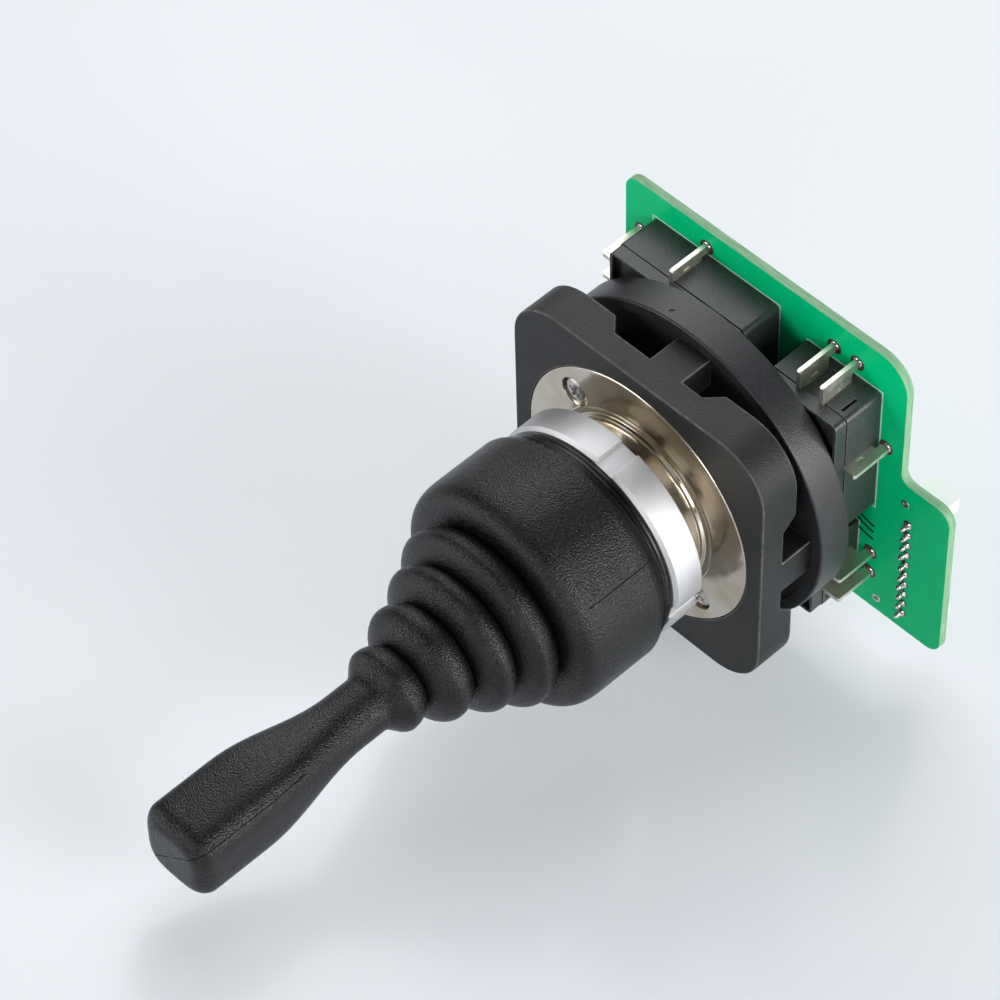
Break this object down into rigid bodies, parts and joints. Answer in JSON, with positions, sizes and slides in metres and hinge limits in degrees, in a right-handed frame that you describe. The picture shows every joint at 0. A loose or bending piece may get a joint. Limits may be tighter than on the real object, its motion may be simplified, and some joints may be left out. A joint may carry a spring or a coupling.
{
  "type": "industrial joystick",
  "caption": "Panel-mounted four-way lever joystick: rubber-booted lever on a gimbal working snap switches on a circuit board.",
  "frame": {"origin": "centre of the panel seat, where the lever's axis crosses the block's top face", "axes": "+Z along the lever towards its grip, -X towards the connector's side of the circuit board"},
  "size_m": [0.0725, 0.0623, 0.1356],
  "materials": {
    "block_plastic": "fine matt moulded texture",
    "disc_plastic": "smooth satin moulding",
    "flange_nickel": "polished nickel plating",
    "ring_aluminium": "satin turned",
    "screw_steel": "bright zinc plating",
    "boot_rubber": "grained matt rubber",
    "grip_rubber": "grained matt rubber",
    "spring_steel": "drawn wire",
    "gimbal_steel": "turned",
    "pin_steel": "ground",
    "actuator_plastic": "natural acetal",
    "switch_case_plastic": "semi-matt moulding",
    "switch_cover_plastic": "semi-matt moulding",
    "plunger_plastic": "smooth",
    "terminal_nickel": "stamped, plated",
    "board_green": "solder mask over glass laminate",
    "solder_tin": "shiny solder",
    "header_white": "smooth nylon",
    "header_pin_tin": "tinned"
  },
  "bodies": {
    "housing": {"mounting_block": "block_plastic", "mounting_flange": "flange_nickel", "flange_screws": "screw_steel", "ring_nut": "ring_aluminium", "boot_skirt": "boot_rubber", "bellows": "boot_rubber", "boot_retainer": "screw_steel", "base_disc": "disc_plastic", "spring_seat": "screw_steel", "return_spring": "spring_steel", "switch_1_case": "switch_case_plastic", "switch_2_case": "switch_case_plastic", "switch_3_case": "switch_case_plastic", "switch_4_case": "switch_case_plastic", "switch_1_cover": "switch_cover_plastic", "switch_2_cover": "switch_cover_plastic", "switch_3_cover": "switch_cover_plastic", "switch_4_cover": "switch_cover_plastic", "switch_1_terminals": "terminal_nickel", "switch_2_terminals": "terminal_nickel", "switch_3_terminals": "terminal_nickel", "switch_4_terminals": "terminal_nickel", "circuit_board": "board_green", "terminal_solder": "solder_tin", "header_housing": "header_white", "header_pins": "header_pin_tin", "header_solder": "solder_tin"},
    "gimbal": {"gimbal_ring": "gimbal_steel", "gimbal_pins": "pin_steel"},
    "lever": {"lever_shaft": "pin_steel", "cross_pin": "pin_steel", "spring_collar": "screw_steel", "collar_clip": "screw_steel", "actuator": "actuator_plastic", "actuator_screw": "screw_steel", "grip": "grip_rubber"},
    "plunger_1": {"switch_1_plunger": "plunger_plastic"},
    "plunger_2": {"switch_2_plunger": "plunger_plastic"},
    "plunger_3": {"switch_3_plunger": "plunger_plastic"},
    "plunger_4": {"switch_4_plunger": "plunger_plastic"}
  },
  "joints": [
    {"name": "tilt_x", "type": "hinge", "parent": "housing", "child": "gimbal", "pos_m": [0, 0, -0.0155], "axis": [1, 0, 0], "range_deg": [-10, 10], "stiffness_Nm_per_rad": 4, "deforming": ["bellows", "return_spring"]},
    {"name": "tilt_y", "type": "hinge", "parent": "gimbal", "child": "lever", "pos_m": [0, 0, -0.0155], "axis": [0, 1, 0], "range_deg": [-10, 10], "stiffness_Nm_per_rad": 4, "deforming": ["bellows", "return_spring"]},
    {"name": "plunger_1_slide", "type": "slide", "parent": "housing", "child": "plunger_1", "axis": [0, -1, 0], "range_m": [-0.00125, 0.00125]},
    {"name": "plunger_2_slide", "type": "slide", "parent": "housing", "child": "plunger_2", "axis": [-1, 0, 0], "range_m": [-0.00125, 0.00125]},
    {"name": "plunger_3_slide", "type": "slide", "parent": "housing", "child": "plunger_3", "axis": [0, 1, 0], "range_m": [-0.00125, 0.00125]},
    {"name": "plunger_4_slide", "type": "slide", "parent": "housing", "child": "plunger_4", "axis": [1, 0, 0], "range_m": [-0.00125, 0.00125]}
  ],
  "couplings": [
    {"joint": "plunger_1_slide", "follows": "tilt_x", "m_per_rad": -0.0071},
    {"joint": "plunger_3_slide", "follows": "tilt_x", "m_per_rad": 0.0071},
    {"joint": "plunger_2_slide", "follows": "tilt_y", "m_per_rad": 0.0071},
    {"joint": "plunger_4_slide", "follows": "tilt_y", "m_per_rad": -0.0071}
  ]
}
